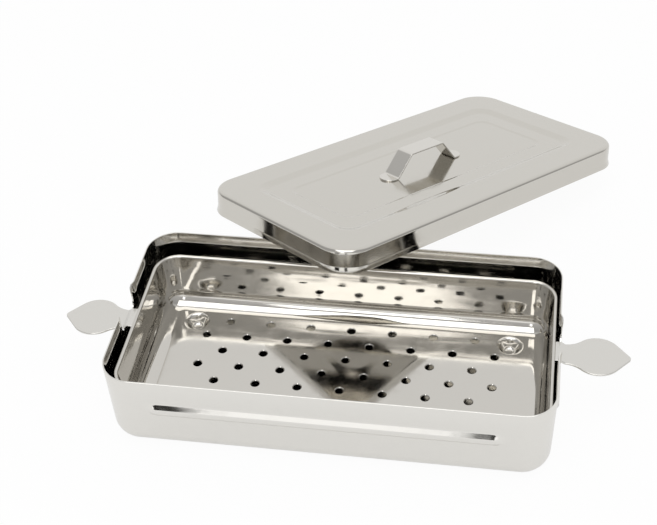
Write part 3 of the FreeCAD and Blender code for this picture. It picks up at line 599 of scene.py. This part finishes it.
# %% Plan of a leaf
def leaf_half_width(x):
    """Half of the leaf's width at x from where the level leaf starts."""
    half_neck = NECK_WIDTH / 2
    belly_rise = LEAF_WIDTH / 2 - LEAF_BELLY_RADIUS
    shoulder_rise = half_neck + LEAF_NECK_RADIUS
    run = math.sqrt((LEAF_NECK_RADIUS + LEAF_BELLY_RADIUS) ** 2 - (shoulder_rise - belly_rise) ** 2)
    shoulder = Vector((LEAF_BELLY - run, shoulder_rise))
    belly = Vector((LEAF_BELLY, belly_rise))
    meeting = shoulder + (belly - shoulder).normalized() * LEAF_NECK_RADIUS
    tip = Vector((LEAF_LENGTH - LEAF_TIP_RADIUS, 0.0))
    span = tip - belly
    lean = math.acos((LEAF_BELLY_RADIUS - LEAF_TIP_RADIUS) / span.length)
    normal = Matrix.Rotation(lean, 2) @ span.normalized()
    flank_start, flank_end = belly + normal * LEAF_BELLY_RADIUS, tip + normal * LEAF_TIP_RADIUS
    if x <= shoulder.x:
        return half_neck
    if x <= meeting.x:
        return shoulder.y - math.sqrt(LEAF_NECK_RADIUS ** 2 - (x - shoulder.x) ** 2)
    if x <= flank_start.x:
        return belly.y + math.sqrt(LEAF_BELLY_RADIUS ** 2 - (x - belly.x) ** 2)
    if x <= flank_end.x:
        share = (x - flank_start.x) / (flank_end.x - flank_start.x)
        return flank_start.y + share * (flank_end.y - flank_start.y)
    return math.sqrt(max(LEAF_TIP_RADIUS ** 2 - (x - tip.x) ** 2, 0.0))


print("half widths:", ", ".join(f"{leaf_half_width(x):.1f}" for x in range(0, 37, 6)))

# %% [markdown]
# Shears leave a strip with crisp edges, which tumbling rounds a little, and such an edge catches a line of
# light. A Bevel modifier would round it too, but it fails where the leaf comes to a point. So every cross
# section carries its own rounded edge, which gets smaller with the width.

# %% Bent strip
SHEARED_EDGE, EDGE_AT_MOST, NARROWEST = 0.3, 0.4, 0.03
# The rounded edge in four points: how far in, as a share of the edge, and how deep, as a share of the gauge.
EDGE_POINTS = ((0.3, 0.1), (0.0, 0.28), (0.0, 0.72), (0.3, 0.9))
# A run counts as level below the first height difference. Spots nearer than the second to its ends drop out.
LEVEL, CLEAR = 1e-3, 0.02


def bent_strip(name, path, gauge, half_width, place):
    """Strip of metal along a path of (x, z) points; its sheared edges are a little rounded."""
    rings = []
    for near, far in zip(path, thickened(path, gauge)):
        half = max(half_width(near), NARROWEST)
        soft = min(SHEARED_EDGE, half * EDGE_AT_MOST)
        flat = max(half - soft - SUPPORT, (half - soft) / 2)
        side = [(flat, 0.0), (half - soft, 0.0)]
        side += [(half - soft * inward, share) for inward, share in EDGE_POINTS]
        side += [(half - soft, 1.0), (flat, 1.0)]
        loop = side + [(-y, share) for y, share in reversed(side)]
        across = far - near
        rings.append([Vector((near.x + across.x * share, y, near.y + across.y * share))
                      for y, share in loop])
    return skinned(name, rings, place=place)


def stations(path, spots):
    """The path of (x, z) points with more points added on its level runs at the given x."""
    dense = []
    for a, b in zip(path, path[1:]):
        dense.append(a)
        if abs(a.y - b.y) < LEVEL:
            inner = [x for x in spots if min(a.x, b.x) + CLEAR < x < max(a.x, b.x) - CLEAR]
            dense += [Vector((x, a.y)) for x in sorted(inner, reverse=b.x < a.x)]
    return dense + [path[-1]]


print(f"a strip has {2 * (len(EDGE_POINTS) + 4)} points round it")

# %% Leaf handles
LEAF_STEPS, TIP_CROWDING = 70, 1.6
strip_top = TRAY_HEIGHT - TRAY_SHEET
wall_top = TRAY_LENGTH / 2 - LIP_WIDTH
hook_x = TRAY_LENGTH / 2 + HOOK_REACH
leaf_x = hook_x + HOOK_RUN
leg_foot = wall_top - math.tan(LEG_LEAN) * STRIP_LEG
handle_path = rounded_path([
    (leg_foot, strip_top - STRIP_LEG, 0), (wall_top, strip_top, STRIP + STRIP_BEND),
    (hook_x, strip_top, STRIP_BEND + STRIP), (leaf_x, strip_top - HOOK_DROP, STRIP_BEND),
    (leaf_x + LEAF_LENGTH, strip_top - HOOK_DROP, 0)])
leaf_spots = [leaf_x + LEAF_LENGTH * (1 - (1 - i / LEAF_STEPS) ** TIP_CROWDING)
              for i in range(1, LEAF_STEPS)]
handle_path = stations(handle_path, leaf_spots)
for side, turn in (("right", 0.0), ("left", math.pi)):
    place = Matrix.Translation(TRAY_PLACE) @ Matrix.Rotation(turn, 4, "Z")
    handle = bent_strip(f"leaf_{side}", handle_path, -STRIP, lambda p: leaf_half_width(p.x - leaf_x), place)
    dress(handle, leaf_steel, "tray", "tray_handle_steel", f"tray_handle_{side}")

# %% [markdown]
# The lid is a shallow drawing whose skirt goes round the pan's rim. Its top has a sunk panel in two steps,
# which makes a thin sheet stiff. Here it is off the pan and leans on the pan's rear rim. A rigid body
# simulation could drop it there, but the contact is simple enough to work out: the skirt's edge lies on the
# rim and its rearmost corner is on the table.

# %% Sizes of the lid
LID_FIT, SKIRT_DEPTH, SKIRT_FLARE, SKIRT_FLARE_HEIGHT = 0.8, 15.0, 0.8, 3.6
LID_EDGE_RADIUS, SKIRT_BEND = 2.6, 2.5
PANEL_MARGIN, PANEL_DEPTH, PANEL_BEVEL, PANEL_CORNER, PANEL_BEND = 21.5, 1.5, 5.0, 12.0, 6.0
INNER_MARGIN, INNER_DEPTH, INNER_BEVEL, INNER_CORNER, INNER_BEND = 16.0, 0.5, 1.5, 8.0, 2.0
LID_TURN, LID_SHIFT, LID_BEHIND_RIM, LID_REST_GAP = math.radians(50.8), 30.8, 94.8, 0.3
LID_LENGTH = PAN_LENGTH + (LID_FIT + SHEET) * 2
LID_WIDTH = PAN_WIDTH + (LID_FIT + SHEET) * 2
LID_CORNER = PAN_CORNER + LID_FIT + SHEET
print(f"lid {LID_LENGTH:.1f} x {LID_WIDTH:.1f} x {SKIRT_DEPTH:.0f} mm")

# %% Where the lid leans
flared_corner = LID_CORNER + SKIRT_FLARE
rear_reach = ((LID_LENGTH / 2 + SKIRT_FLARE - flared_corner) * math.sin(LID_TURN)
              + (LID_WIDTH / 2 + SKIRT_FLARE - flared_corner) * math.cos(LID_TURN) + flared_corner)
lid_tilt = math.asin(PAN_HEIGHT / (LID_BEHIND_RIM + rear_reach))
lean = Matrix.Rotation(-lid_tilt, 4, "X")
rim_point = Vector((LID_SHIFT, PAN_WIDTH / 2, PAN_HEIGHT + LID_REST_GAP))
lid_centre = rim_point + lean @ Vector((0, LID_BEHIND_RIM, 0))
LID_PLACE = Matrix.Translation(lid_centre) @ lean @ Matrix.Rotation(LID_TURN, 4, "Z")
print(f"lid leans at {math.degrees(lid_tilt):.1f} degrees")

# %% [markdown]
# The lid's section runs from the inner panel out over both steps, round the edge and down the skirt to its
# flare. A plain offset of the outline would leave the panels with sharp corners in plan, because they lie
# further in than the outline's radius. So every ring takes a corner radius between the known ones.

# %% Lid shell
PANEL_FLAT_RUN = 6.0


def lid_corner_at(inset):
    """Corner radius of the lid's rings, between the outline's and the panels'."""
    known = [(-SKIRT_FLARE, flared_corner), (0.0, LID_CORNER),
             (LID_EDGE_RADIUS, LID_CORNER - LID_EDGE_RADIUS), (PANEL_MARGIN, PANEL_CORNER),
             (PANEL_MARGIN + PANEL_BEVEL, PANEL_CORNER - PANEL_BEVEL / 2),
             (PANEL_MARGIN + INNER_MARGIN, INNER_CORNER), (LID_WIDTH / 2, INNER_CORNER / 2)]
    for (a, first), (b, second) in zip(known, known[1:]):
        if inset <= b:
            return first + (second - first) * max((inset - a) / (b - a), 0.0)
    return known[-1][1]


panel_level = SKIRT_DEPTH - PANEL_DEPTH
inner_level = panel_level - INNER_DEPTH
inner_edge = PANEL_MARGIN + INNER_MARGIN
lid_outside = rounded_path([
    (inner_edge + INNER_BEVEL + PANEL_FLAT_RUN, inner_level, 0),
    (inner_edge + INNER_BEVEL, inner_level, INNER_BEND), (inner_edge, panel_level, INNER_BEND),
    (PANEL_MARGIN + PANEL_BEVEL, panel_level, PANEL_BEND), (PANEL_MARGIN, SKIRT_DEPTH, PANEL_BEND),
    (0.0, SKIRT_DEPTH, LID_EDGE_RADIUS), (0.0, SKIRT_FLARE_HEIGHT, SKIRT_BEND), (-SKIRT_FLARE, 0.0, 0)])
lid_rings = []
for p in with_cut_edge(lid_outside, thickened(lid_outside, SHEET)):
    lid_rings.append(ring(LID_LENGTH / 2 - p.x, LID_WIDTH / 2 - p.x, lid_corner_at(p.x), p.y))
lid = skinned("lid_shell", lid_rings, place=LID_PLACE)
dress(lid, lid_steel, "lid", "lid_steel", "lid_cover")

# %% [markdown]
# The lid's handle is a strap bent into a low bridge, welded down by two feet with round ends. It is the same
# kind of piece as a leaf handle, so the same helper lays it: only the line and the width change.

# %% Strap handle
STRAP, STRAP_BEND, STRAP_WIDTH, STRAP_RISE = 1.0, 1.5, 13.0, 15.0
STRAP_TOP, STRAP_LEG_RUN, STRAP_FOOT = 28.0, 12.0, 9.0
END_STEPS = 16
top_level = inner_level + (STRAP_RISE - STRAP)
half_top = STRAP_TOP / 2
half_span = half_top + STRAP_LEG_RUN
half_length = half_span + STRAP_FOOT
strap_path = rounded_path([(-half_length, inner_level, 0), (-half_span, inner_level, STRAP_BEND + STRAP),
                           (-half_top, top_level, STRAP_BEND), (half_top, top_level, STRAP_BEND),
                           (half_span, inner_level, STRAP_BEND + STRAP), (half_length, inner_level, 0)])
half_strap = STRAP_WIDTH / 2
round_end = half_length - half_strap
end_angles = [math.pi / 2 * i / END_STEPS for i in range(END_STEPS)]
end_spots = [side * (round_end + half_strap * math.sin(angle)) for angle in end_angles for side in (1, -1)]
strap_path = stations(strap_path, end_spots)


def strap_half_width(p):
    """Half of the strap's width at a point of its path: even, with half circles at both ends."""
    beyond = max(abs(p.x) - round_end, 0.0)
    return math.sqrt(max(half_strap ** 2 - beyond ** 2, 0.0))


strap = bent_strip("strap_handle", strap_path, STRAP, strap_half_width, LID_PLACE)
dress(strap, strap_steel, "lid", "lid_handle_steel", "lid_handle")

# %% [markdown]
# Polished steel shows only what stands round it, so the stage matters as much as the metal. The object
# stands on a plain white table. The camera sees the table almost as pure white, with a trace of the shadow,
# and reflections see half of it that way. More lamp light would whiten the table too, but would burn out the
# steel. Sizes and places on the stage are in metres.

# %% Table
TABLE_WIDTH = 6.0
CAMERA_SHARE, MIRROR_SHARE = 0.95, 0.5
MATT = 0.9
WHITE = (1, 1, 1, 1)


def card(name, centre, look_at, width, height, colour):
    """Flat matt card that faces a point. It isn't part of the object."""
    mesh = bpy.data.meshes.new(name)
    w, h = width / 2, height / 2
    mesh.from_pydata([(-w, -h, 0), (w, -h, 0), (w, h, 0), (-w, h, 0)], [], [(0, 1, 2, 3)])
    obj = bpy.data.objects.new(name, mesh)
    bpy.context.scene.collection.objects.link(obj)
    obj.location = centre
    obj.rotation_euler = (Vector(look_at) - Vector(centre)).to_track_quat("Z", "Y").to_euler()
    material = bpy.data.materials.new(name)
    material.use_nodes = True
    shader = material.node_tree.nodes["Principled BSDF"]
    shader.inputs["Base Color"].default_value = linear(colour)
    shader.inputs["Roughness"].default_value = MATT
    shader.inputs["Specular IOR Level"].default_value = 0.0
    mesh.materials.append(material)
    return obj


def whiten(material, camera_share, mirror_share):
    """Mixes white over a material, by one share for the camera and another for reflections."""
    tree = material.node_tree
    shader = tree.nodes["Principled BSDF"]
    rays = add_node(tree, "ShaderNodeLightPath")
    glossy_or_clear = add_node(tree, "ShaderNodeMath", {"operation": "MAXIMUM"}, {
        0: rays.outputs["Is Glossy Ray"], 1: rays.outputs["Is Transmission Ray"]})
    mirrored = add_node(tree, "ShaderNodeMath", {"operation": "MULTIPLY"}, {
        0: glossy_or_clear.outputs["Value"], 1: mirror_share})
    seen = add_node(tree, "ShaderNodeMath", {"operation": "MULTIPLY_ADD"}, {
        0: rays.outputs["Is Camera Ray"], 1: camera_share, 2: mirrored.outputs["Value"]})
    white = add_node(tree, "ShaderNodeEmission", {}, {"Color": WHITE, "Strength": 1.0})
    blend = add_node(tree, "ShaderNodeMixShader", {}, {
        0: seen.outputs["Value"], 1: shader.outputs["BSDF"], 2: white.outputs["Emission"]})
    tree.links.new(blend.outputs["Shader"], tree.nodes["Material Output"].inputs["Surface"])


table = card("table", (0, 0, 0), (0, 0, 1), TABLE_WIDTH, TABLE_WIDTH, "#F4F4F4")
whiten(table.data.materials[0], CAMERA_SHARE, MIRROR_SHARE)
print(f"table {TABLE_WIDTH:.0f} m wide")

# %% [markdown]
# A photographer puts bright steel in a tent of white cloth, so that it mirrors cloth and not the room. The
# world stands for the tent. Going from the front to the back and up, the cloth is bright low in front, then
# less so, grey at the sides and bright behind. Those tones are what the pan's front, the lid's top and the
# skirt show. The camera sees plain white in its place.

# %% Light tent
BEHIND, ASIDE, IN_FRONT, LOW_FRONT = 0.92, 0.42, 0.60, 1.2
STOPS = ((0.0, LOW_FRONT), (0.14, LOW_FRONT), (0.19, IN_FRONT), (0.63, ASIDE), (0.85, BEHIND))
UP_COUNTS, FRONTMOST, REARMOST = 0.5, -1.0, 1.1
world = bpy.data.worlds.new("light_tent")
bpy.context.scene.world = world
world.use_nodes = True
tent = world.node_tree
rays = add_node(tent, "ShaderNodeLightPath")
way = add_node(tent, "ShaderNodeTexCoord").outputs["Generated"]
parts = add_node(tent, "ShaderNodeSeparateXYZ", {}, {"Vector": way})
rearward = add_node(tent, "ShaderNodeMath", {"operation": "MULTIPLY_ADD"}, {
    0: parts.outputs["Z"], 1: UP_COUNTS, 2: parts.outputs["Y"]})
spread = add_node(tent, "ShaderNodeMapRange", {}, {
    "Value": rearward.outputs["Value"], "From Min": FRONTMOST, "From Max": REARMOST})
cloth = add_node(tent, "ShaderNodeValToRGB", {}, {"Fac": spread.outputs["Result"]})
ramp = cloth.color_ramp
ramp.elements[0].position, ramp.elements[1].position = STOPS[0][0], STOPS[-1][0]
for position, level in STOPS[1:-1]:
    ramp.elements.new(position)
for element, (position, level) in zip(ramp.elements, STOPS):
    element.color = (level, level, level, 1)
shown = add_node(tent, "ShaderNodeMix", {"data_type": "RGBA"}, {
    "Factor": rays.outputs["Is Camera Ray"], "A": cloth.outputs["Color"], "B": WHITE})
tent.links.new(shown.outputs["Result"], tent.nodes["Background"].inputs["Color"])
print("tent tones:", ", ".join(f"{element.color[0]:.2f}" for element in ramp.elements))

# %% [markdown]
# A tent alone would leave the steel flat and without depth. Two dark cards in front of the object stand for
# the tent's opening and the camera on its stand, and put dark bands into the skirt and the walls. Two soft
# lamps in front give the shadow and the highlights. Behind the object they would burn out the tray's floor.

# %% Cards and lamps
CARD_Y, CARD_AIM = -1.41, (0, 0, 0.1)
CARDS = (("tent_opening", -0.62, 0.42, 0.55), ("camera_stand", 0.16, 0.24, 0.45))
LAMPS = (("overhead", (0.0, -0.35, 1.5), 1.2, 1.0, 7.5),
         ("softbox_by_camera", (-0.16, -1.12, 0.98), 0.32, 0.42, 0.9))


def soft_lamp(name, centre, width, height, watts):
    """Rectangular lamp that points at the middle of the object's underside."""
    lamp = bpy.data.lights.new(name, "AREA")
    lamp.shape, lamp.size, lamp.size_y, lamp.energy = "RECTANGLE", width, height, watts
    obj = bpy.data.objects.new(name, lamp)
    bpy.context.scene.collection.objects.link(obj)
    obj.location = centre
    obj.rotation_euler = (Vector() - Vector(centre)).to_track_quat("-Z", "Y").to_euler()


for name, x, width, height in CARDS:
    dark_card = card(name, (x, CARD_Y, height / 2), CARD_AIM, width, height, "#2C2B28")
    dark_card.visible_camera = False
for name, centre, width, height, watts in LAMPS:
    soft_lamp(name, centre, width, height, watts)
    print(f"{name}: {watts} W")

# %% [markdown]
# The camera was fitted to the outlines in the photograph: where it stands, as angles round the object, and
# its lens, as a focal length in pixels of the picture's width. Blender asks for millimetres on a sensor.

# %% Camera
AZIMUTH, ELEVATION, ROLL = math.radians(11.01), math.radians(41.03), math.radians(-3.17)
DISTANCE_MM, RIGHT_MM, UP_MM = 811.1, -7.8, 72.0
FOCAL_PX, FRAME_PX, SENSOR_MM = 1345.6, 657, 36.0

back = Vector((math.sin(AZIMUTH) * math.cos(ELEVATION), -math.cos(AZIMUTH) * math.cos(ELEVATION),
               math.sin(ELEVATION)))
level_right = Vector((math.cos(AZIMUTH), math.sin(AZIMUTH), 0))
level_up = back.cross(level_right)
right = level_right * math.cos(ROLL) + level_up * math.sin(ROLL)
up = level_up * math.cos(ROLL) - level_right * math.sin(ROLL)
camera = bpy.data.objects.new("camera", bpy.data.cameras.new("camera"))
bpy.context.scene.collection.objects.link(camera)
spot = (right * RIGHT_MM + up * UP_MM + back * DISTANCE_MM) * MM
turned = Matrix((right, up, back)).transposed()
camera.matrix_world = Matrix.Translation(spot) @ turned.to_4x4()
camera.data.sensor_width = SENSOR_MM
camera.data.lens = FOCAL_PX / FRAME_PX * SENSOR_MM
bpy.context.scene.camera = camera
bpy.context.scene.view_settings.view_transform = "Standard"
print(f"lens {camera.data.lens:.1f} mm")
